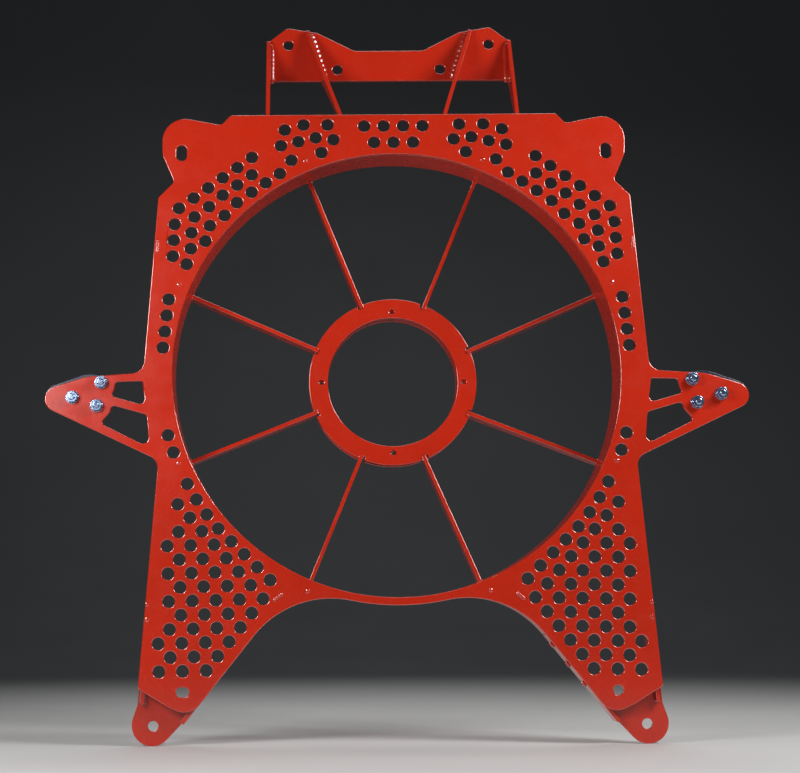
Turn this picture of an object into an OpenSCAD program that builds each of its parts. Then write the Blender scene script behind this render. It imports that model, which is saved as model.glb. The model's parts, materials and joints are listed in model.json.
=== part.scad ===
// Welded sheet-metal bulkhead frame: a perforated front plate with a large round
// opening, a rim band behind it, eight set-back spokes that carry a centre hub,
// edge stiffeners, two leg lugs, two side ears and a raised top bracket.
//
// Millimetres. +Z is up, +Y runs from the front face towards the back, +X is the
// right-hand side seen from the front. The origin is on the axis of the round
// opening, in the front face of the front plate. Left-hand parts mirror the right.

/* [Front plate] */
// Thickness of the front plate
plate_t = 5; // [4:0.5:6]
// Radius of the large round opening
rim_r = 272; // [270:0.5:273]
// Width of the plate under the opening, at its narrowest
neck_w = 9.5; // [8:0.5:12]
// Radius of the arch on each side of the neck
arch_r = 118; // [110:1:124]
// Diameter of the lightening holes
perforation_d = 15; // [10:0.5:16]

/* [Rim band] */
// Thickness of the rolled rim band
band_t = 3; // [2:0.5:4]
// Depth from the front face to the rear edge of the band
band_rear_y = 56; // [45:1:62]

/* [Hub and spokes] */
// Outer radius of the hub flanges
hub_r = 106; // [104:1:112]
// Radius of the hub bore
hub_bore_r = 82; // [76:0.5:83]
// Depth from the front face of the frame to the front of the hub
hub_front_y = 82; // [74:1:90]
// Overall depth of the hub
hub_depth = 30; // [24:1:40]
// Thickness of each hub flange
hub_flange_t = 5; // [4:0.5:6]
// Wall of the hub tube
hub_tube_t = 3; // [2:0.5:3]
// Diameter of the hub bolt circle
hub_pcd = 180; // [178:1:184]
// Diameter of the hub bolt holes
hub_hole_d = 6.6; // [5:0.1:7]
// Thickness of a spoke
spoke_t = 4.8; // [4:0.2:6]
// Sideways offset of each spoke from the hub centre, clockwise
spoke_offset = 1.2; // [0:0.1:1.5]

/* [Edge stiffeners] */
// Thickness of the stiffener strips
strip_t = 5; // [3:0.5:5]
// Depth from the front face to the rear edge of the strips
strip_rear_y = 35; // [30:1:45]
// Distance from the outer edge of the plate to the side strips
side_inset = 3.8; // [3.6:0.2:5]
// Distance from the inner edge of the leg to its strip
inner_inset = 0.6; // [0.4:0.2:3]

/* [Legs and lugs] */
// Depth from the front face to the front of the lug plates
lug_y = 14.5; // [10:0.5:20]
// Thickness of the lug plates
lug_t = 6; // [5:0.5:8]
// Radius of the rounded lug end
lug_r = 24.5; // [23:0.5:25]
// Diameter of the lug hole
lug_hole_d = 12.5; // [10:0.5:16]
// Diameter of the locating hole in the right leg, and width of the left slot
leg_hole_d = 12; // [8:0.5:12]

/* [Top bracket] */
// Depth from the front face to the front of the crossbar
crossbar_y = 84; // [76:1:92]
// Thickness of the crossbar
crossbar_t = 6; // [4:0.5:8]
// Diameter of the four crossbar holes
crossbar_hole_d = 13; // [9:0.5:14]
// Thickness of the four gussets
gusset_t = 5; // [4:0.5:6]

/* [Ears] */
// Thickness of the backing pads bolted behind the ears
pad_t = 4; // [3:0.5:6]
// Thread diameter of the ear bolts
bolt_d = 8; // [6:1:8]

/* [Hidden] */

$fn = 96;
POWDER_RED = [0.80, 0.17, 0.10];
ZINC = [0.80, 0.82, 0.84];
DARK_PAD = [0.07, 0.08, 0.11];

// Corners of the right half of the front plate, top to bottom: [x, z, radius]
top_z = 322;
side_top = [289.9, 218.5];
ear_root_top = [307.5, 1];
ear_root_low = [288.7, -105.8];
leg_corner = [311.7, -378.3];
shoulder_corners = [
    [201, top_z, 6], [212.5, 309.6, 8], [286, 324.2, 28], [284.9, 271.5, 25], [270.5, 238, 5]
];
ear_corners = [
    [ear_root_top.x, ear_root_top.y, 16], [376, -3.5, 60], [453.8, -27.4, 15.5],
    [ear_root_low.x, ear_root_low.y, 15]
];

// Leg end: a round boss about the locating hole, with the inner edge tangent to it
leg_hole = [258.6, -382.9];
boss_c = leg_hole + [-2.1, -0.1];
boss_r = 23.5;
boss_kink = [277, -399.4];
boss_start = -60;
// Unit vectors across the leg's inner edge (towards the metal) and down along it
inner_edge_deg = 38.6;
across = [cos(inner_edge_deg), sin(inner_edge_deg)];
along = [sin(inner_edge_deg), -cos(inner_edge_deg)];
inner_edge_d = across * boss_c - boss_r;

// Arch centre: the arch touches both the leg's inner edge and the ring under the rim
ring_r = rim_r + neck_w;
arch_deg = inner_edge_deg - acos((inner_edge_d - arch_r) / (ring_r + arch_r));
arch_c = (ring_r + arch_r) * [cos(arch_deg), sin(arch_deg)];

// Openings
shoulder_slot = [261.5, 274.5];
shoulder_slot_w = 13;
shoulder_slot_l = 20;
leg_slot_l = 15.5;
ear_window_upper = [
    [341, -10, 4], [308.7, -9.2, 2.5], [304.3, -39.5, 6], [346.2, -27.4, 4], [342.2, -18, 8]
];
ear_window_lower = [
    [345.5, -38.3, 4.5], [303, -50.3, 5], [299.3, -90.5, 7], [359.3, -60.5, 5], [347.3, -46.5, 7]
];
ear_bolt_at = [[358.2, -10.7], [392.9, -28.8], [363.4, -39.1]];

// Hub and spokes
flange_notch_w = 8;
flange_notch_d = 4.5;
spoke_proud = 2;
spoke_hook_r = 290;
spoke_angles = [22.5, 67.5, 112.5, 157.5, 202.5, 247.5, 292.5, 337.5];
band_outer_r = rim_r + band_t;

// Lugs
lug_hole = [294.7, -423.3];
lug_top_z = -368;
lug_end_c = [295.7, -422.2];
lug_start_deg = 19;
lug_end_deg = -136.5;
lug_waist_z = -398.4;
lug_slot_w = 7.6;
lug_slot_gap = 0.2;
lug_slot_end_z = -397.6;
side_strip_end_z = -396;
inner_strip_end = 490;

// Top bracket
crossbar_bottom_z = 394;
crossbar_corners = [[44.3, 434, 12], [92, 458.4, 10], [131.5, 465.2, 9], [158, 445, 4]];
crossbar_hole_at = [[129.8, 442.2], [66.6, 409.2]];
outer_gusset_x = 155.5;
outer_gusset_top_z = 446;
inner_gusset_x = 63.8;
inner_gusset_top_z = 460;
inner_gusset_lean = 16.8;
gusset_root = 30;
gusset_start = 14;
gusset_proud = 5;
gusset_root_w = 14;

// Ear fasteners
nut_t = 0.8 * bolt_d;
nut_af = bolt_d + 5;
washer_r = bolt_d;
washer_t = 1.6;
clear_d = bolt_d + 0.4;

// ---- Helpers ----

function unit(v) = v / norm(v);

// Points of an arc about c, from angle a0 to a1
function arc(c, r, a0, a1, n = 24) =
    [for (i = [0:n]) let (a = a0 + (a1 - a0) * i / n) c + r * [cos(a), sin(a)]];

// Arc that rounds corner q, between its neighbours p and s
function corner_arc(p, q, s, r, n) =
    let (
        u = unit(p - q),
        v = unit(s - q),
        half = acos(u * v) / 2,
        c = q + unit(u + v) * r / sin(half),
        from = q + u * r / tan(half) - c,
        to = q + v * r / tan(half) - c,
        a0 = atan2(from.y, from.x),
        turn = atan2(to.y, to.x) - a0,
        sweep = turn > 180 ? turn - 360 : turn < -180 ? turn + 360 : turn
    )
    arc(c, r, a0, a0 + sweep, n);

function flat(p) = [p.x, p.y];

// Open path through corners [x, z, radius], its two ends left as they are
function rounded_path(pts, n = 8) = [
    for (i = [0:len(pts) - 1])
        each i == 0 || i == len(pts) - 1 || pts[i].z == 0
            ? [flat(pts[i])]
            : corner_arc(flat(pts[i - 1]), flat(pts[i]), flat(pts[i + 1]), pts[i].z, n)
];

// Closed outline through corners [x, z, radius]
function rounded_loop(pts, n = 8) =
    let (last = len(pts))
    [for (i = [0:last - 1])
        each pts[i].z == 0
            ? [flat(pts[i])]
            : corner_arc(flat(pts[(i + last - 1) % last]), flat(pts[i]), flat(pts[(i + 1) % last]),
                         pts[i].z, n)];

function reversed(list) = [for (i = [len(list) - 1:-1:0]) list[i]];
function mirrored(list) = [for (p = list) [-p.x, p.y]];

// Closed outline from its right half, which runs from the top centre to the bottom centre
function both_halves(half) = concat(half, reversed(mirrored(half)));

// Point on a line through a and b, at height z
function on_line(a, b, z) = [a.x + (b.x - a.x) * (z - a.y) / (b.y - a.y), z];

// Strip of thickness t that follows a path, gap away from it on its right-hand side
function strip_along(path, gap, t) =
    let (
        last = len(path) - 1,
        side = [for (i = [0:last])
            let (d = unit(path[min(i + 1, last)] - path[max(i - 1, 0)])) [d.y, -d.x]]
    )
    concat(
        [for (i = [0:last]) path[i] + gap * side[i]],
        [for (i = [last:-1:0]) path[i] + (gap + t) * side[i]]
    );

// Extrude an X-Z drawing along +Y, from depth y0, by thickness t
module slab(y0, t) {
    translate([0, y0 + t, 0]) rotate([90, 0, 0]) linear_extrude(height = t) children();
}

module on_left() {
    mirror([1, 0, 0]) children();
}

module both_sides() {
    children();
    on_left() children();
}

// Straight slot of width w and overall length l, lying along X
module slot_shape(w, l) {
    square([l - w, w], center = true);
    for (s = [-1, 1]) translate([s * (l - w) / 2, 0]) circle(d = w);
}

module hole_row(start, step, count) {
    for (i = [0:count - 1]) translate(start + i * step) circle(d = perforation_d, $fn = 32);
}

// ---- Front plate ----

plate_half = concat(
    rounded_path(concat(
        [[0, top_z, 0]],
        shoulder_corners,
        [[side_top.x, side_top.y, 4]],
        ear_corners,
        [[leg_corner.x, leg_corner.y, 5], [boss_kink.x, boss_kink.y, 12]],
        [[boss_c.x + boss_r * cos(boss_start), boss_c.y + boss_r * sin(boss_start), 0]]
    )),
    arc(boss_c, boss_r, boss_start, inner_edge_deg - 180),
    arc(arch_c, arch_r, inner_edge_deg, arch_deg + 180),
    arc([0, 0], ring_r, arch_deg, -90)
);

// Staggered lattice of holes in the right leg
module leg_lattice() {
    row = [28.17, -0.67];
    rise = [-13.55, 16.9];
    first = [230.4, -357.3];
    counts = [3, 3, 4, 4, 4, 5, 4, 4, 3, 3, 2, 1, 1];
    widest = 5;
    for (k = [0:len(counts) - 1])
        hole_row(first + k * rise + max(k - widest, 0) * row, row, counts[k]);
}

// Holes that run beside the rim, from the side column down to the leg
module rim_side_holes() {
    hole_r = 287;
    step_deg = 4.38;
    hole_row([276.8, 91.3], [2.3, -19.87], 4);
    for (a = [15.25, 15.25 + step_deg]) translate(hole_r * [cos(a), -sin(a)])
        circle(d = perforation_d, $fn = 32);
    for (i = [0:3]) translate(hole_r * [cos(27.97 + i * step_deg), -sin(27.97 + i * step_deg)])
        circle(d = perforation_d, $fn = 32);
    hole_row([200.6, -204.1], [-15.5, -15.5], 4);
}

// Holes of the upper corner, in three falling lines and two columns
module shoulder_holes() {
    fall = [17.95, -12.73];
    hole_row([174.8, 268.6], fall, 6);
    hole_row([175, 246.6], fall, 3);
    hole_row([227.6, 206.7], fall, 2);
    hole_row([140.5, 247.9], [17.4, -11.6], 3);
    hole_row([193.4, 211.7], fall, 1);
    hole_row([208.6, 195.6], fall, 2);
    hole_row([269.8, 184.9], [1.1, -19.95], 3);
    hole_row([249.2, 174.2], [0.6, -19.9], 2);
    hole_row([255, 135], fall, 1);
    hole_row([232.1, 163.6], fall, 1);
}

// Cluster beside the top centre
module top_flank_holes() {
    fall = [22, -5.5];
    hole_row([111, 309.4], [23.1, -6.4], 2);
    hole_row([81.3, 309.3], fall, 1);
    hole_row([96.1, 293], [21.4, -4.9], 3);
    hole_row([74.2, 290.5], [14.9, -16.3], 2);
    hole_row([126.1, 264.6], fall, 1);
}

// Two hexagonal rows at the top centre
module top_centre_holes() {
    pitch = 24;
    row_z = 307.4;
    hole_row([-1.5 * pitch, row_z], [pitch, 0], 4);
    hole_row([-pitch, row_z - pitch * sin(60)], [pitch, 0], 3);
}

module front_plate() {
    color(POWDER_RED) slab(0, plate_t) difference() {
        polygon(both_halves(plate_half));
        circle(r = rim_r, $fn = 180);
        top_centre_holes();
        both_sides() {
            leg_lattice();
            rim_side_holes();
            shoulder_holes();
            top_flank_holes();
            translate(shoulder_slot) rotate(90) slot_shape(shoulder_slot_w, shoulder_slot_l);
            polygon(rounded_loop(ear_window_upper));
            polygon(rounded_loop(ear_window_lower));
            for (p = ear_bolt_at) translate(p) circle(d = clear_d);
        }
        translate(leg_hole) circle(d = leg_hole_d);
        translate([-leg_hole.x, leg_hole.y]) slot_shape(leg_hole_d, leg_slot_l);
    }
}

// ---- Rim band ----

module rim_band() {
    color(POWDER_RED) slab(plate_t, band_rear_y - plate_t) difference() {
        circle(r = band_outer_r, $fn = 180);
        circle(r = rim_r, $fn = 180);
    }
}

// ---- Hub ----

module hub_flange(y0) {
    slab(y0, hub_flange_t) difference() {
        circle(r = hub_r, $fn = 128);
        circle(r = hub_bore_r, $fn = 128);
        for (a = [0:90:270]) rotate(a) translate([hub_pcd / 2, 0]) circle(d = hub_hole_d);
        for (a = spoke_angles) rotate(a) translate([hub_r - flange_notch_d, -flange_notch_w / 2])
            square([2 * flange_notch_d, flange_notch_w]);
    }
}

module hub_front_flange() {
    color(POWDER_RED) hub_flange(hub_front_y);
}

module hub_tube() {
    color(POWDER_RED)
        slab(hub_front_y + hub_flange_t, hub_depth - 2 * hub_flange_t) difference() {
            circle(r = hub_bore_r + hub_tube_t, $fn = 128);
            circle(r = hub_bore_r, $fn = 128);
        }
}

module hub_rear_flange() {
    color(POWDER_RED) hub_flange(hub_front_y + hub_depth - hub_flange_t);
}

// ---- Spokes ----

// Side view of a spoke, radius against depth. The inner end fits between the hub
// flanges, and the outer end hooks over the rim band to the back of the front plate.
module spoke_profile() {
    notch_r = hub_r - flange_notch_d;
    tube_r = hub_bore_r + hub_tube_t;
    gap_front = hub_front_y + hub_flange_t;
    gap_rear = hub_front_y + hub_depth - hub_flange_t;
    polygon([
        [notch_r, hub_front_y - spoke_proud],
        [rim_r - 2, band_rear_y],
        [band_outer_r, band_rear_y],
        [band_outer_r, plate_t],
        [spoke_hook_r, plate_t],
        [spoke_hook_r, band_rear_y + 4],
        [spoke_hook_r - 10, band_rear_y + 24],
        [hub_r + 10, gap_rear],
        [tube_r, gap_rear],
        [tube_r, gap_front],
        [notch_r, gap_front]
    ]);
}

module spoke(angle) {
    color(POWDER_RED) rotate([0, -angle, 0]) translate([0, 0, -spoke_offset - spoke_t / 2])
        linear_extrude(height = spoke_t) spoke_profile();
}

// ---- Edge stiffeners, right-hand side ----

module strip(path, gap) {
    slab(plate_t, strip_rear_y - plate_t) polygon(strip_along(path, gap, strip_t));
}

module shoulder_stiffener() {
    path = rounded_path([
        [218, 310.7, 0], shoulder_corners[2], shoulder_corners[3], [272.5, 242.7, 0]
    ], 10);
    color(POWDER_RED) strip(path, side_inset);
}

module side_stiffener() {
    from = on_line(side_top, ear_root_top, 210);
    to = on_line(side_top, ear_root_top, -8);
    color(POWDER_RED) strip([from, to], side_inset);
}

module leg_outer_stiffener() {
    from = on_line(ear_root_low, leg_corner, -112);
    to = on_line(ear_root_low, leg_corner, side_strip_end_z);
    color(POWDER_RED) strip([from, to], side_inset);
}

module leg_inner_stiffener() {
    start = arch_c + arch_r * across + 0.3 * along;
    to = inner_edge_d * across + inner_strip_end * along;
    color(POWDER_RED) strip([to, start], inner_inset);
}

module arch_stiffener() {
    color(POWDER_RED) strip(arc(arch_c, arch_r, inner_edge_deg, 88, 16), inner_inset);
}

// ---- Leg lugs, right-hand side ----

module lug_plate() {
    edge_top = on_line(ear_root_low, leg_corner, lug_top_z);
    edge_waist = on_line(ear_root_low, leg_corner, lug_waist_z);
    end_arc = arc(lug_end_c, lug_r, lug_start_deg, lug_end_deg, 32);
    // The straight side leaves the round end on its tangent, up to the end of the notch
    tangent = [sin(lug_end_deg), -cos(lug_end_deg)];
    last = end_arc[len(end_arc) - 1];
    notch_end = inner_strip_end + 1;
    notch_in = inner_edge_d + inner_inset + strip_t + 0.4;
    notch_top = (notch_in * across.y - lug_top_z) / -along.y;
    side_end = last + tangent * (notch_end - along * last) / (along * tangent);
    outline = concat(
        rounded_path([[edge_top.x, edge_top.y, 0], [edge_waist.x, edge_waist.y, 3],
                      [end_arc[0].x, end_arc[0].y, 0]]),
        end_arc,
        [
            side_end,
            notch_in * across + notch_end * along,
            notch_in * across + notch_top * along
        ]
    );
    // Slot round the end of the leg's outer stiffener, close to its inner side
    mid = side_inset + strip_t + lug_slot_gap - lug_slot_w / 2;
    slot_c = on_line(ear_root_low, leg_corner, lug_slot_end_z + lug_slot_w / 2) - [mid, 0];
    slot_top = on_line(ear_root_low, leg_corner, lug_top_z + 1) - [mid, 0];
    color(POWDER_RED) slab(lug_y, lug_t) difference() {
        polygon(outline);
        translate(lug_hole) circle(d = lug_hole_d);
        translate(leg_hole) circle(r = 10);
        polygon(rounded_loop([
            [slot_top.x - lug_slot_w / 2, slot_top.y, 0],
            [slot_c.x - lug_slot_w / 2, lug_slot_end_z, 2.5],
            [slot_c.x + lug_slot_w / 2, lug_slot_end_z, 2.5],
            [slot_top.x + lug_slot_w / 2, slot_top.y, 0]
        ]));
    }
}

// ---- Top bracket ----

module bracket_crossbar() {
    half = rounded_path(concat(
        [[0, crossbar_corners[0].y, 0]],
        crossbar_corners,
        [[158, crossbar_bottom_z, 3], [0, crossbar_bottom_z, 0]]
    ));
    color(POWDER_RED) slab(crossbar_y, crossbar_t) difference() {
        polygon(both_halves(half));
        both_sides() for (p = crossbar_hole_at) translate(p) circle(d = crossbar_hole_d);
    }
}

// Gusset that rises from the back of the front plate to the front of the crossbar.
// Its drawing is depth against height, measured along the leaning gusset from the
// plate's top edge. The front edge leaves the plate a little below that edge and ends
// a little proud of the crossbar's face. The rear edge runs from the plate's back to
// just below the crossbar.
module gusset(foot_x, gusset_top_z, lean) {
    stretch = 1 / cos(lean);
    length = (gusset_top_z - top_z) * stretch;
    rear_top = (crossbar_bottom_z - 5 - top_z) * stretch;
    outline = rounded_loop([
        [plate_t, -gusset_root, 0],
        [plate_t, -gusset_start, 0],
        [crossbar_y - gusset_proud, length, 2],
        [crossbar_y, length, 0],
        [crossbar_y, rear_top, 3],
        [crossbar_y - 14, rear_top - 10 * stretch, 20],
        [plate_t + gusset_root_w + 6, 2, 10],
        [plate_t + gusset_root_w, -gusset_root, 3]
    ]);
    color(POWDER_RED) translate([foot_x, 0, top_z]) rotate([0, lean, 0])
        translate([-gusset_t / 2, 0, 0]) rotate([90, 0, 90])
            linear_extrude(height = gusset_t) polygon(outline);
}

module outer_gusset() {
    gusset(outer_gusset_x, outer_gusset_top_z, 0);
}

module inner_gusset() {
    gusset(inner_gusset_x, inner_gusset_top_z, inner_gusset_lean);
}

// ---- Ear pads and fasteners, right-hand side ----

module ear_pad() {
    color(DARK_PAD) slab(plate_t, pad_t) difference() {
        polygon(rounded_loop([
            [348, -3, 5], [377, 1, 30], [452, -25.5, 15], [366, -63.5, 8], [351, -46, 8]
        ]));
        for (p = ear_bolt_at) translate(p) circle(d = clear_d);
    }
}

module at_ear_bolts(y0) {
    for (p = ear_bolt_at) translate([p.x, y0, p.y]) rotate([90, 0, 0]) children();
}

// Hexagon of width nut_af across its flats, with its corners turned off at both
// ends by shallow cones; stands on the drawing plane
module hexagon(t) {
    cone_slope = 1 / tan(30);
    face_r = 0.475 * nut_af;
    intersection() {
        cylinder(r = nut_af / 2 / cos(30), h = t, $fn = 6);
        cylinder(r1 = face_r, r2 = face_r + t * cone_slope, h = t, $fn = 48);
        cylinder(r1 = face_r + t * cone_slope, r2 = face_r, h = t, $fn = 48);
    }
}

// Bolts enter from behind the pad; their rounded ends stand out of the nuts
module ear_bolts() {
    head_t = 0.65 * bolt_d;
    grip = plate_t + pad_t + washer_t + nut_t;
    end_proud = 2.4;
    end_taper = 1;
    color(ZINC) at_ear_bolts(plate_t + pad_t) {
        translate([0, 0, -head_t]) hexagon(head_t);
        cylinder(d = bolt_d, h = grip + end_proud - end_taper, $fn = 48);
        translate([0, 0, grip + end_proud - end_taper])
            cylinder(d1 = bolt_d, d2 = bolt_d - 2 * end_taper, h = end_taper, $fn = 48);
    }
}

module ear_washers() {
    color(ZINC) at_ear_bolts(0) difference() {
        cylinder(r = washer_r, h = washer_t, $fn = 64);
        translate([0, 0, -1]) cylinder(d = clear_d, h = washer_t + 2, $fn = 48);
    }
}

module ear_nuts() {
    color(ZINC) at_ear_bolts(-washer_t) difference() {
        hexagon(nut_t);
        translate([0, 0, -1]) cylinder(d = bolt_d + 0.1, h = nut_t + 2, $fn = 48);
    }
}

// ---- Nodes ----

front_plate();
rim_band();
hub_front_flange();
hub_tube();
hub_rear_flange();
spoke(spoke_angles[0]);  // spoke_east_north_east
spoke(spoke_angles[1]);  // spoke_north_north_east
spoke(spoke_angles[2]);  // spoke_north_north_west
spoke(spoke_angles[3]);  // spoke_west_north_west
spoke(spoke_angles[4]);  // spoke_west_south_west
spoke(spoke_angles[5]);  // spoke_south_south_west
spoke(spoke_angles[6]);  // spoke_south_south_east
spoke(spoke_angles[7]);  // spoke_east_south_east
on_left() shoulder_stiffener();  // left_shoulder_stiffener
shoulder_stiffener();  // right_shoulder_stiffener
on_left() side_stiffener();  // left_side_stiffener
side_stiffener();  // right_side_stiffener
on_left() leg_outer_stiffener();  // left_leg_outer_stiffener
leg_outer_stiffener();  // right_leg_outer_stiffener
on_left() leg_inner_stiffener();  // left_leg_inner_stiffener
leg_inner_stiffener();  // right_leg_inner_stiffener
on_left() arch_stiffener();  // left_arch_stiffener
arch_stiffener();  // right_arch_stiffener
on_left() lug_plate();  // left_lug_plate
lug_plate();  // right_lug_plate
bracket_crossbar();
on_left() outer_gusset();  // left_outer_gusset
on_left() inner_gusset();  // left_inner_gusset
inner_gusset();  // right_inner_gusset
outer_gusset();  // right_outer_gusset
on_left() ear_pad();  // left_ear_pad
ear_pad();  // right_ear_pad
on_left() ear_bolts();  // left_ear_bolts
ear_bolts();  // right_ear_bolts
on_left() ear_washers();  // left_ear_washers
ear_washers();  // right_ear_washers
on_left() ear_nuts();  // left_ear_nuts
ear_nuts();  // right_ear_nuts
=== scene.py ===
import json
import math
import random

import bpy
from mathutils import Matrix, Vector


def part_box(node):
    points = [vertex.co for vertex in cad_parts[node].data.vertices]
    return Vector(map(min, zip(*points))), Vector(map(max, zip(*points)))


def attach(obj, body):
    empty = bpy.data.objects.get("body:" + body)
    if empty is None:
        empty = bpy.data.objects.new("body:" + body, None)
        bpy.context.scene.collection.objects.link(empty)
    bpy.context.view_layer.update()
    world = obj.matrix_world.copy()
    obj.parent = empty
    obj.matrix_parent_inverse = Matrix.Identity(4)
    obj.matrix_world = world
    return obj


# Looks for a powder-coated welded plate frame. Metres; +Z up, +Y towards the back,
# origin on the axis of the round opening, in the front face of the front plate.

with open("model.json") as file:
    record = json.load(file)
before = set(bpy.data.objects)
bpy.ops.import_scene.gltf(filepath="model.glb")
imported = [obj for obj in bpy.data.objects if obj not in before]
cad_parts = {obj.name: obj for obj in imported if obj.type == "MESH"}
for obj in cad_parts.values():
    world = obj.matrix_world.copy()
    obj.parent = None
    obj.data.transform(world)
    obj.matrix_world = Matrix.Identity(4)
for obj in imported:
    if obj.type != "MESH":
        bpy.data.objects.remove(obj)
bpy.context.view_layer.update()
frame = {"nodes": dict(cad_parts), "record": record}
random.seed(7)

MM = 0.001

# Places read from the frame
PLATE_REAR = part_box("front_plate")[1].y
RIM_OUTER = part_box("rim_band")[1].x
BAND_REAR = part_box("rim_band")[1].y
HUB_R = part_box("hub_front_flange")[1].x
HUB_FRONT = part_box("hub_front_flange")[0].y
HUB_GAP_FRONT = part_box("hub_tube")[0].y
HUB_GAP_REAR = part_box("hub_tube")[1].y
TUBE_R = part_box("hub_tube")[1].x
CROSSBAR_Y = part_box("bracket_crossbar")[0].y
CROSSBAR_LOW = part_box("bracket_crossbar")[0].z
FLOOR_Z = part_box("left_lug_plate")[0].z

# Sizes that the frame's boxes don't give
PLATE_TOP = 322 * MM
BAND_T = 3 * MM
RIM_R = RIM_OUTER - BAND_T
SPOKE_T = 4.8 * MM
SPOKE_OFFSET = 1.2 * MM
SPOKE_ANGLES = [22.5 + 45 * k for k in range(8)]
GUSSET_T = 5 * MM
GUSSET_ROOT = 30 * MM
INNER_GUSSET_X = 63.8 * MM
INNER_GUSSET_LEAN = math.radians(16.8)
STRIP_T = 5 * MM
SIDE_INSET = 3.8 * MM
SIDES = (-1, 1)


# ---- Node materials ----

class Graph:
    """A small helper that adds nodes to one material and links them."""

    def __init__(self, name):
        self.material = bpy.data.materials.new(name)
        self.material.use_nodes = True
        self.tree = self.material.node_tree
        self.surface = self.tree.nodes["Principled BSDF"]
        coordinates = self.tree.nodes.new("ShaderNodeTexCoord")
        self.place = coordinates.outputs["Object"]

    def link(self, source, target):
        self.tree.links.new(source, target)

    def noise(self, scale, detail=4.0, roughness=0.55):
        node = self.tree.nodes.new("ShaderNodeTexNoise")
        node.inputs["Scale"].default_value = scale
        node.inputs["Detail"].default_value = detail
        node.inputs["Roughness"].default_value = roughness
        self.link(self.place, node.inputs["Vector"])
        return node.outputs["Fac"]

    def distance(self, centre):
        node = self.tree.nodes.new("ShaderNodeVectorMath")
        node.operation = "DISTANCE"
        self.link(self.place, node.inputs[0])
        node.inputs[1].default_value = centre
        return node.outputs["Value"]

    def spread(self, value, low, high, to_low, to_high, smooth=False):
        node = self.tree.nodes.new("ShaderNodeMapRange")
        if smooth:
            node.interpolation_type = "SMOOTHSTEP"
        self.link(value, node.inputs["Value"])
        node.inputs["From Min"].default_value = low
        node.inputs["From Max"].default_value = high
        node.inputs["To Min"].default_value = to_low
        node.inputs["To Max"].default_value = to_high
        return node.outputs["Result"]

    def mix(self, factor, first, second):
        """first and second are colours or sockets."""
        node = self.tree.nodes.new("ShaderNodeMix")
        node.data_type = "RGBA"
        self.link(factor, node.inputs["Factor"])
        for socket, value in ((node.inputs[6], first), (node.inputs[7], second)):
            if isinstance(value, tuple):
                socket.default_value = (*value, 1)
            else:
                self.link(value, socket)
        return node.outputs[2]

    def bump(self, height, strength, distance, before=None):
        """Adds one layer of bump over an earlier one, and returns its normal."""
        node = self.tree.nodes.new("ShaderNodeBump")
        node.inputs["Strength"].default_value = strength
        node.inputs["Distance"].default_value = distance
        self.link(height, node.inputs["Height"])
        if before is not None:
            self.link(before, node.inputs["Normal"])
        return node.outputs["Normal"]


def powder_coat(name, base, pale, gloss, wear_and_sheen, coat=0.45, coat_ior=1.5):
    """Thick glossy powder coat: orange peel, slow waviness, colour drift and specks.

    wear_and_sheen is the share of the surface where the colour turns to its paler tone: thin coat
    on the faces, and on the vermilion edge material also painted sheen.
    """
    g = Graph(name)
    deep = tuple(0.86 * c for c in base)
    body = g.mix(g.spread(g.noise(7, 3), 0.3, 0.7, 0, 1), base, deep)
    speck = g.spread(g.noise(900, 2), 0.6, 0.78, 0, 0.35)
    body = g.mix(speck, body, pale)
    # Paler patches: thin coat, and on the vermilion edge material painted sheen as well as wear
    thin_coat_and_sheen = g.spread(g.noise(55, 6, 0.65), 0.72 - wear_and_sheen, 0.80 - wear_and_sheen, 0, 0.8)
    body = g.mix(thin_coat_and_sheen, body, pale)
    g.link(body, g.surface.inputs["Base Color"])
    rough = g.spread(g.noise(38, 5), 0.3, 0.7, gloss - 0.05, gloss + 0.07)
    g.link(rough, g.surface.inputs["Roughness"])
    g.surface.inputs["Coat Weight"].default_value = coat
    g.surface.inputs["Coat IOR"].default_value = coat_ior
    g.surface.inputs["Coat Roughness"].default_value = 0.08
    normal = g.bump(g.noise(9, 2), 0.5, 1.2 * MM)
    normal = g.bump(g.noise(150, 1, 0.4), 0.35, 0.12 * MM, normal)
    normal = g.bump(g.noise(520, 2, 0.4), 0.30, 0.05 * MM, normal)
    g.link(normal, g.surface.inputs["Normal"])
    return g.material


def plated_steel(name, base, tint, gloss):
    """Bright zinc: drifting blue tint and fine turning marks."""
    g = Graph(name)
    g.surface.inputs["Metallic"].default_value = 1.0
    body = g.mix(g.spread(g.noise(160, 4), 0.35, 0.65, 0, 1), base, tint)
    g.link(body, g.surface.inputs["Base Color"])
    rough = g.spread(g.noise(500, 4), 0.3, 0.7, gloss - 0.05, gloss + 0.08)
    g.link(rough, g.surface.inputs["Roughness"])
    normal = g.bump(g.noise(1500, 3), 0.2, 0.03 * MM)
    g.link(normal, g.surface.inputs["Normal"])
    return g.material


def studio_paint_with_light_pool(name, near_tone, far_tone):
    """Matt paint, pale under the object and deeper with distance from it: a painted pool of light
    and painted falloff.
    """
    g = Graph(name)
    painted_falloff = g.spread(g.distance((0, 0, FLOOR_Z)), 0.5, 2.3, 0, 1, smooth=True)
    clouds = g.spread(g.noise(1.5, 3), 0.3, 0.7, 0.0, 0.05)
    body = g.mix(painted_falloff, near_tone, far_tone)
    body = g.mix(clouds, body, (0.3, 0.3, 0.3))
    g.link(body, g.surface.inputs["Base Color"])
    g.link(g.spread(g.noise(6, 4), 0.3, 0.7, 0.6, 0.72), g.surface.inputs["Roughness"])
    normal = g.bump(g.noise(120, 3), 0.1, 0.4 * MM)
    g.link(normal, g.surface.inputs["Normal"])
    return g.material


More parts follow.
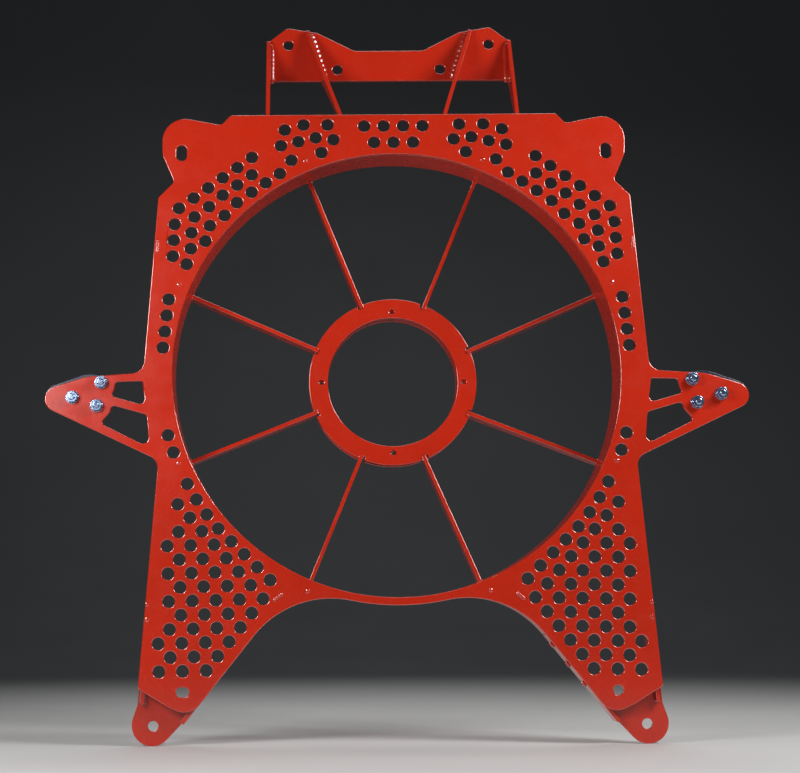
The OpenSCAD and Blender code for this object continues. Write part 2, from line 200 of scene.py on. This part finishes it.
VERMILION = (0.57, 0.020, 0.003)
PALE_VERMILION = (0.62, 0.065, 0.028)
NIGHT_BLUE = (0.012, 0.016, 0.045)
PALE_BLUE = (0.07, 0.09, 0.16)
FACES = {
    "powder_coat": powder_coat("powder_coat", VERMILION, PALE_VERMILION, 0.25, 0.0),
    "dark_coat": powder_coat("dark_coat", NIGHT_BLUE, PALE_BLUE, 0.35, 0.02),
    "zinc": plated_steel("bright_zinc", (0.46, 0.62, 0.92), (0.30, 0.46, 0.78), 0.2),
}
# Materials for the rounded edges and the weld beads. On the vermilion coat the paler edge patches
# are partly wear and partly painted sheen for the highlights along the bevels.
EDGES = {
    "powder_coat": powder_coat("powder_coat_edge_wear_and_sheen", VERMILION, PALE_VERMILION, 0.20, 0.18, 1.0, 1.9),
    "dark_coat": powder_coat("dark_coat_edge", NIGHT_BLUE, PALE_BLUE, 0.28, 0.2),
    # The paler zinc on the chamfers is a painted highlight
    "zinc": plated_steel("bright_zinc_edge_highlight", (0.72, 0.79, 0.90), (0.55, 0.66, 0.84), 0.16),
}


# ---- CAD nodes: rounded edges and finish ----

def round_edges(obj, width, segments):
    """Welds the imported faces, merges flat ones and rounds every sharp edge."""
    if "custom_normal" in obj.data.attributes:
        obj.data.attributes.remove(obj.data.attributes["custom_normal"])
    for polygon in obj.data.polygons:
        polygon.use_smooth = True
    weld = obj.modifiers.new("weld", "WELD")
    weld.merge_threshold = 0.002 * MM
    flat = obj.modifiers.new("flat", "DECIMATE")
    flat.decimate_type = "DISSOLVE"
    flat.angle_limit = math.radians(0.3)
    bevel = obj.modifiers.new("bevel", "BEVEL")
    bevel.width = width
    bevel.segments = segments
    bevel.limit_method = "ANGLE"
    bevel.angle_limit = math.radians(35)
    bevel.miter_outer = "MITER_ARC"
    bevel.use_clamp_overlap = False
    # The rounds take the second slot, the edge materials: painted sheen on the vermilion coat,
    # painted highlight on the zinc
    bevel.material = 1
    normals = obj.modifiers.new("normals", "WEIGHTED_NORMAL")
    normals.mode = "FACE_AREA"
    normals.keep_sharp = False


def edge_radius(node):
    if "bolts" in node or "nuts" in node:
        return 0.35 * MM
    if "washers" in node:
        return 0.3 * MM
    if node in ("front_plate", "bracket_crossbar"):
        return 1.1 * MM
    return 0.8 * MM


slot_of = {s["node"]: s["material_slot"] for s in frame["record"]["subparts"]}
for node, obj in frame["nodes"].items():
    slot = slot_of[node]
    obj.data.materials.clear()
    obj.data.materials.append(FACES[slot])
    obj.data.materials.append(EDGES[slot])
    round_edges(obj, edge_radius(node), 3)


# ---- Weld beads ----

class Beads:
    """Collects weld beads in one mesh. A bead is a rippled round run along a path."""

    sides = 10
    steps_per_ripple = 5
    taper_steps = 4

    def __init__(self, name):
        self.name = name
        self.vertices = []
        self.faces = []

    def girth(self, i, last, ripple, phase):
        """Share of the full radius at step i: tapered ends and a ripple along the run."""
        from_end = min(i, last - i) / self.taper_steps
        taper = math.sin(min(1.0, from_end + 0.08) * math.pi / 2) ** 0.6
        wave = abs(math.sin(phase + i * math.pi / self.steps_per_ripple))
        return taper * (1 - ripple + 2 * ripple * wave) * random.uniform(0.985, 1.015)

    def run(self, points, radius, ripple=0.1, pitch=None, facing=None, wide=1.0):
        """points: the path's corners; pitch: length of one ripple.

        A flattened bead is wide times its radius across and bulges towards facing.
        """
        pitch = pitch or 1.6 * radius
        path = resample([Vector(p) for p in points], pitch / self.steps_per_ripple)
        last = len(path) - 1
        start = len(self.vertices)
        phase = random.uniform(0, math.tau)
        for i, point in enumerate(path):
            ahead = (path[min(i + 1, last)] - path[max(i - 1, 0)]).normalized()
            side = ahead.cross(Vector((0, 1, 0)))
            if side.length < 0.1:
                side = ahead.cross(Vector((1, 0, 0)))
            side.normalize()
            rise = side.cross(ahead)
            if facing is not None:
                side = ahead.cross(facing).normalized() * wide
                rise = facing.normalized()
            r = radius * self.girth(i, last, ripple, phase)
            for k in range(self.sides):
                a = math.tau * k / self.sides
                self.vertices.append(point + r * (math.cos(a) * side + math.sin(a) * rise))
        for i in range(last):
            for k in range(self.sides):
                a = start + i * self.sides + k
                b = start + i * self.sides + (k + 1) % self.sides
                self.faces.append((a, b, b + self.sides, a + self.sides))
        end = start + last * self.sides
        self.faces.append(tuple(start + k for k in reversed(range(self.sides))))
        self.faces.append(tuple(end + k for k in range(self.sides)))

    def stitches(self, first, second, radius, length, pitch):
        """Short runs of one length, spaced along a straight line."""
        a, b = Vector(first), Vector(second)
        total = (b - a).length
        step = (b - a).normalized()
        number = max(1, int((total - length) / pitch) + 1)
        lead = (total - length - (number - 1) * pitch) / 2
        for i in range(number):
            s = lead + i * pitch
            self.run([a + step * s, a + step * (s + length)], radius)

    def arc(self, path_r, from_deg, to_deg, y, radius):
        """A run round the frame's axis, at one depth."""
        n = max(3, round(abs(to_deg - from_deg) / 3))
        step = (to_deg - from_deg) / n
        self.run([polar(path_r, from_deg + i * step, y) for i in range(n + 1)], radius)

    def dome(self, x, z, half_l, half_w, height, angle=0.0):
        """A low oval bump on the front face."""
        rings, sides = 6, 24
        sink = 0.05 * MM
        start = len(self.vertices)
        c, s = math.cos(math.radians(angle)), math.sin(math.radians(angle))
        for i in range(1, rings + 1):
            f = i / rings
            h = height * (1 - f * f) - sink * f
            for k in range(sides):
                a = math.tau * k / sides
                wobble = 1 + 0.07 * math.sin(3 * a + x * 900)
                u = half_l * f * math.cos(a) * wobble
                v = half_w * f * math.sin(a) * wobble
                self.vertices.append(Vector((x + u * c - v * s, -h, z + u * s + v * c)))
        self.vertices.append(Vector((x, -height, z)))
        top = len(self.vertices) - 1
        for k in range(sides):
            n = (k + 1) % sides
            self.faces.append((top, start + k, start + n))
            for i in range(rings - 1):
                a, b = start + i * sides + k, start + i * sides + n
                self.faces.append((a, a + sides, b + sides, b))
        rim = start + (rings - 1) * sides
        self.faces.append(tuple(rim + k for k in reversed(range(sides))))

    def build(self):
        mesh = bpy.data.meshes.new(self.name)
        mesh.from_pydata([tuple(v) for v in self.vertices], [], self.faces)
        mesh.update()
        for polygon in mesh.polygons:
            polygon.use_smooth = True
        obj = bpy.data.objects.new(self.name, mesh)
        bpy.context.scene.collection.objects.link(obj)
        # The beads take the vermilion edge material, so their paler patches are painted sheen as
        # well as wear
        mesh.materials.append(EDGES["powder_coat"])
        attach(obj, "root")


def resample(points, step):
    out = [points[0]]
    for a, b in zip(points, points[1:]):
        n = max(1, round((b - a).length / step))
        out += [a.lerp(b, i / n) for i in range(1, n + 1)]
    return out


def polar(r, angle, y, side=0.0):
    """Point at radius r in the frame's plane; side shifts it square to the radius."""
    a = math.radians(angle)
    return Vector((r * math.cos(a) - side * math.sin(a), y, r * math.sin(a) + side * math.cos(a)))


def spoke_sides():
    """Both faces of a spoke, as offsets from the spoke's radius."""
    return [-SPOKE_OFFSET - SPOKE_T / 2, -SPOKE_OFFSET + SPOKE_T / 2]


def hub_welds():
    """Each spoke to both flanges, and the tube to both flanges between the spokes."""
    beads = Beads("hub_welds")
    gap = (HUB_GAP_FRONT, HUB_GAP_REAR)
    face = HUB_FRONT - 0.2 * MM
    clear_of_spoke = 8.5
    for angle in SPOKE_ANGLES:
        clockwise = spoke_sides()[0]
        beads.run([polar(HUB_R - 4.5 * MM, angle, face, clockwise),
                   polar(HUB_R + 1 * MM, angle, face, clockwise)], 1.3 * MM)
        for side in spoke_sides():
            for y in gap:
                beads.run([polar(TUBE_R + 2 * MM, angle, y, side),
                           polar(HUB_R - 6 * MM, angle, y, side)], 1.4 * MM)
        for y in gap:
            beads.arc(TUBE_R, angle + clear_of_spoke, angle + 45 - clear_of_spoke, y, 1.5 * MM)
    beads.build()


def rim_welds():
    """The band stitched to the plate, the spokes to the band, and the band's own seam."""
    beads = Beads("rim_welds")
    half_stitch = 3.5
    for k in range(16):
        middle = 22.5 * k + 11.25
        beads.arc(RIM_OUTER, middle - half_stitch, middle + half_stitch, PLATE_REAR, 2.0 * MM)
    for angle in SPOKE_ANGLES:
        for side in spoke_sides():
            beads.run([polar(RIM_OUTER, angle, PLATE_REAR + 6 * MM, side),
                       polar(RIM_OUTER, angle, BAND_REAR - 4 * MM, side)], 1.4 * MM)
            beads.run([polar(RIM_R - 1 * MM, angle, BAND_REAR, side),
                       polar(RIM_OUTER, angle, BAND_REAR, side)], 1.2 * MM)
    seam = -88.3
    beads.run([polar(RIM_R + 0.2 * MM, seam, 0.8 * MM),
               polar(RIM_R + 0.2 * MM, seam, BAND_REAR)], 1.2 * MM)
    beads.build()


def outer_gusset_fillet(beads, s, middle_x, top_z):
    """A wide smooth fillet on the gusset's inner side, from under the crossbar to its top."""
    radius = 3.6 * MM
    x = s * (middle_x - GUSSET_T / 2 - radius / 2)
    y = CROSSBAR_Y - radius / 3
    beads.run([(x, CROSSBAR_Y + 4 * MM, CROSSBAR_LOW - 1.6 * MM),
               (x, y, CROSSBAR_LOW + 1 * MM),
               (x, y, top_z - 12 * MM),
               (x + s * 1.5 * MM, y, top_z - 3 * MM)], radius, 0.02)


def inner_gusset_fillet(beads, s):
    """A flattened bead with strong ripples, which catch the side lights one by one."""
    radius, ripple, pitch, wide = 1.6 * MM, 0.3, 6.6 * MM, 2.6
    skin = GUSSET_T / 2 / math.cos(INNER_GUSSET_LEAN)
    run = []
    for z in (CROSSBAR_LOW + 3 * MM, CROSSBAR_LOW + 63 * MM):
        x = INNER_GUSSET_X + (z - PLATE_TOP) * math.tan(INNER_GUSSET_LEAN) - skin - 3 * MM
        run.append((s * x, CROSSBAR_Y - 0.3 * MM, z))
    facing = Vector((-0.42, -0.865, -0.28)) if s > 0 else Vector((0.48, -0.87, -0.10))
    beads.run(run, radius, ripple, pitch, facing, wide)


def gusset_root_fillets(beads, s, foot_x, slope):
    """Beads on both sides of a gusset's root, down the back of the plate."""
    for t in SIDES:
        ends = []
        for drop in (GUSSET_ROOT - 3 * MM, 3 * MM):
            x = foot_x - drop * slope + t * (GUSSET_T / 2 + 0.4 * MM)
            ends.append((s * x, PLATE_REAR + 0.6 * MM, PLATE_TOP - drop))
        beads.run(ends, 2.2 * MM)


def bracket_welds():
    """Gussets to the crossbar's front face and to the back of the plate."""
    beads = Beads("bracket_welds")
    low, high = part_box("right_outer_gusset")
    outer_x = (low.x + high.x) / 2
    for s in SIDES:
        outer_gusset_fillet(beads, s, outer_x, high.z)
        inner_gusset_fillet(beads, s)
        gusset_root_fillets(beads, s, outer_x, 0)
        gusset_root_fillets(beads, s, INNER_GUSSET_X, math.tan(INNER_GUSSET_LEAN))
    beads.build()


def front_weld_marks():
    """Plug welds over the rim, and slot welds over the edge stiffeners."""
    beads = Beads("front_weld_marks")
    for angle in SPOKE_ANGLES:
        p = polar(286 * MM, angle, 0)
        beads.dome(p.x, p.z, 3.3 * MM, 2.7 * MM, 0.9 * MM, angle)
    for s in SIDES:
        shoulder_slot = (291, 158, 9, 90 + s * 4.5)
        arch_slot = (145, -271, 8, -s * 38)
        for x, z, half, slant in (shoulder_slot, arch_slot):
            angle = math.radians(slant)
            reach = Vector((math.cos(angle), 0, math.sin(angle))) * half * MM
            centre = Vector((s * x * MM, 1.5 * MM, z * MM))
            beads.run([centre - reach, centre + reach], 2.6 * MM, 0.1, 3.2 * MM)
        for z in (-279, -297):
            beads.dome(s * 301 * MM, z * MM, 3.2 * MM, 2.6 * MM, 0.7 * MM, 90)
    beads.build()


def stiffener_welds():
    """Stitches along the edge strips, at the back of the plate."""
    beads = Beads("stiffener_welds")
    y = PLATE_REAR
    inset = SIDE_INSET + STRIP_T
    side_edge = (Vector((290.6, 0, 210)), Vector((308.2, 0, -8)))
    leg_edge = (Vector((289.9, 0, -120)), Vector((310.2, 0, -360)))
    inner_lean = math.radians(38.6)
    across = Vector((math.cos(inner_lean), 0, math.sin(inner_lean)))
    along = Vector((math.sin(inner_lean), 0, -math.cos(inner_lean)))
    first_end, pitch, length = 375, 29.6, 9
    for s in SIDES:
        for top, foot in (side_edge, leg_edge):
            ends = [Vector((s * (p.x * MM - inset), y, p.z * MM)) for p in (top, foot)]
            beads.stitches(ends[0], ends[1], 1.6 * MM, 12 * MM, 40 * MM)
        # Only the right leg's inner stitches stand out past the plate's edge
        edge_d = -63.4 if s > 0 else -59.5
        for k in range(3):
            end = first_end + k * pitch
            spots = [(edge_d * across + v * along) * MM for v in (end - length, end)]
            beads.run([Vector((s * p.x, y + 2 * MM, p.z)) for p in spots], 1.8 * MM)
    beads.build()


hub_welds()
rim_welds()
bracket_welds()
front_weld_marks()
stiffener_welds()


# ---- Studio ----

def sweep_floor():
    """A pale floor that curves up behind the object."""
    radius, front, back, half, top = 1.6, -7.0, 2.2, 9.0, 7.0
    steps = 24
    profile = [(front, 0.0), (back, 0.0)]
    for i in range(1, steps + 1):
        a = math.pi / 2 * i / steps
        profile.append((back + radius * math.sin(a), radius * (1 - math.cos(a))))
    profile.append((back + radius, top))
    vertices = []
    for y, z in profile:
        vertices += [(-half, y, FLOOR_Z + z), (half, y, FLOOR_Z + z)]
    faces = [(2 * i, 2 * i + 1, 2 * i + 3, 2 * i + 2) for i in range(len(profile) - 1)]
    mesh = bpy.data.meshes.new("floor")
    mesh.from_pydata(vertices, [], faces)
    for polygon in mesh.polygons:
        polygon.use_smooth = True
    floor = bpy.data.objects.new("floor", mesh)
    bpy.context.scene.collection.objects.link(floor)
    # Pale near the object and deep far away: painted light pool and falloff
    pale, deep = (0.64, 0.64, 0.63), (0.09, 0.093, 0.097)
    mesh.materials.append(studio_paint_with_light_pool("studio_paint_with_light_pool", pale, deep))


def softbox(name, place, target, size, power):
    """A square area light, aimed at target and hidden from the camera."""
    light = bpy.data.lights.new(name, "AREA")
    light.shape = "SQUARE"
    light.size = size
    light.energy = power
    obj = bpy.data.objects.new(name, light)
    bpy.context.scene.collection.objects.link(obj)
    obj.location = place
    obj.rotation_euler = (Vector(target) - Vector(place)).to_track_quat("-Z", "Y").to_euler()
    obj.visible_camera = False


def faint_world():
    """Cool ambient light, weak enough to leave the shadows deep."""
    world = bpy.data.worlds.new("studio")
    world.use_nodes = True
    background = world.node_tree.nodes["Background"]
    background.inputs["Color"].default_value = (0.9, 0.93, 1.0, 1)
    background.inputs["Strength"].default_value = 0.06
    bpy.context.scene.world = world
    bpy.context.scene.view_settings.view_transform = "Standard"


def front_camera():
    """In front, low and a little to the left; the shifts bring the object to the middle."""
    data = bpy.data.cameras.new("camera")
    data.sensor_width = 36
    data.lens = 71
    data.shift_x = 0.1229
    data.shift_y = 0.0596
    data.clip_start = 0.05
    camera = bpy.data.objects.new("camera", data)
    bpy.context.scene.collection.objects.link(camera)
    camera.location = (-0.1116, -1.8932, -0.2908)
    camera.rotation_euler = [math.radians(a) for a in (96.493, 0.327, 0.151)]
    bpy.context.scene.camera = camera


sweep_floor()
softbox("left_softbox", (-0.75, -0.75, 0.19), (0, 0, 0), 0.36, 7.4)
softbox("right_softbox", (1.05, -0.65, 0.65), (0, 0, 0), 0.5, 16.2)
softbox("overhead_softbox", (0.2, 1.3, 2.2), (0, 0.7, FLOOR_Z), 1.6, 20)
faint_world()
front_camera()
